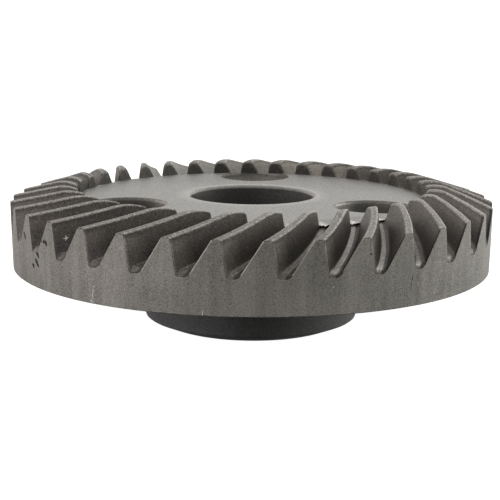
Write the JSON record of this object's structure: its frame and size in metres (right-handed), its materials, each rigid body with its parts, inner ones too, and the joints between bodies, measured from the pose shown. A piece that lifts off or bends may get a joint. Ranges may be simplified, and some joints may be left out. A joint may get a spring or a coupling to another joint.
{
  "type": "bevel gear",
  "caption": "Spiral bevel gear with curved teeth on a plain round rim, a flat web with a bore and round pockets, and a boss on the back; drives a spindle at right angles to its pinion.",
  "frame": {"origin": "middle of the boss's lower face, on the axis of the bore", "axes": "+Z along the bore axis from the boss to the toothed side, +Y towards the first pocket"},
  "size_m": [0.0699, 0.07, 0.0206],
  "materials": {
    "sintered_steel": "dark grey sintered steel, fine-grained and matt, with lighter worn edges"
  },
  "bodies": {
    "root": {"bevel_gear": "sintered_steel"}
  },
  "joints": []
}
